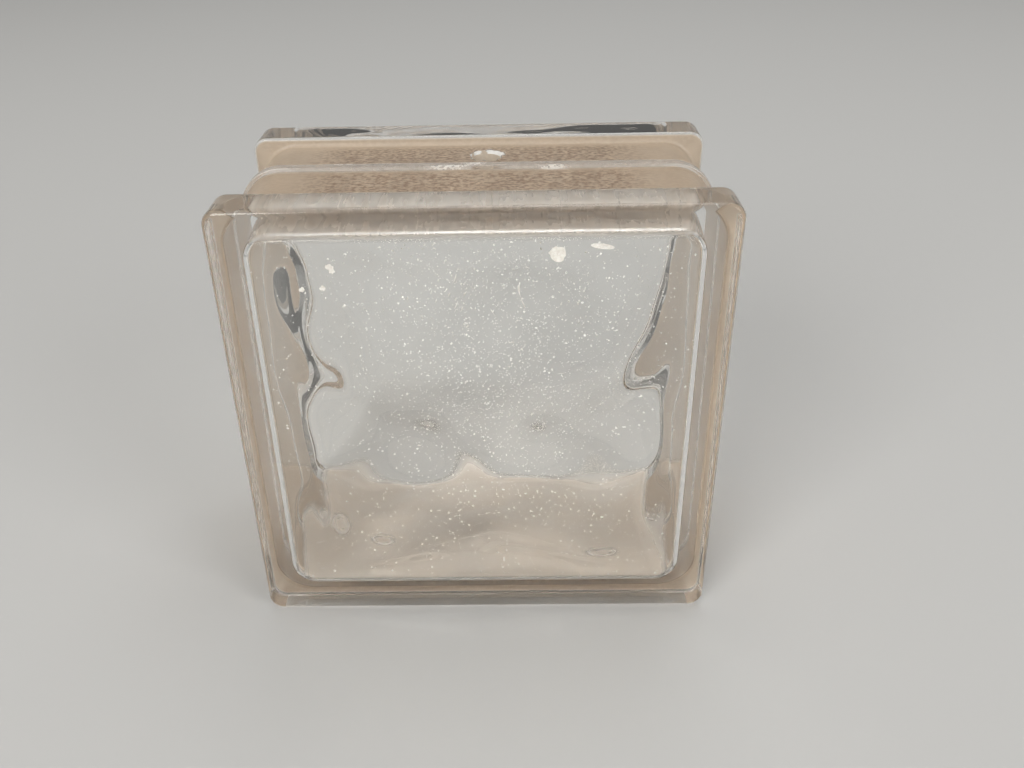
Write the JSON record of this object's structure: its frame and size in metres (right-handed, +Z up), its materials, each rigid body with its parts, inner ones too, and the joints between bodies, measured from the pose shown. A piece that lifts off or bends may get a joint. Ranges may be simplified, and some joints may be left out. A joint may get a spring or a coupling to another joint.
{
  "type": "glass block",
  "caption": "Hollow clear glass building block with wavy inner panels, lipped faces, a fused seam and a hole drilled through its top edge.",
  "frame": {"origin": "middle of the underside, on the two lips that the block stands on", "axes": "+X to the right across the face, +Y back through the block's depth, +Z up"},
  "size_m": [0.1968, 0.0984, 0.1969],
  "materials": {
    "clear_glass": "fire-polished clear pressed glass, smooth outside, softly wavy inside"
  },
  "bodies": {
    "root": {"glass_block": "clear_glass"}
  },
  "joints": []
}
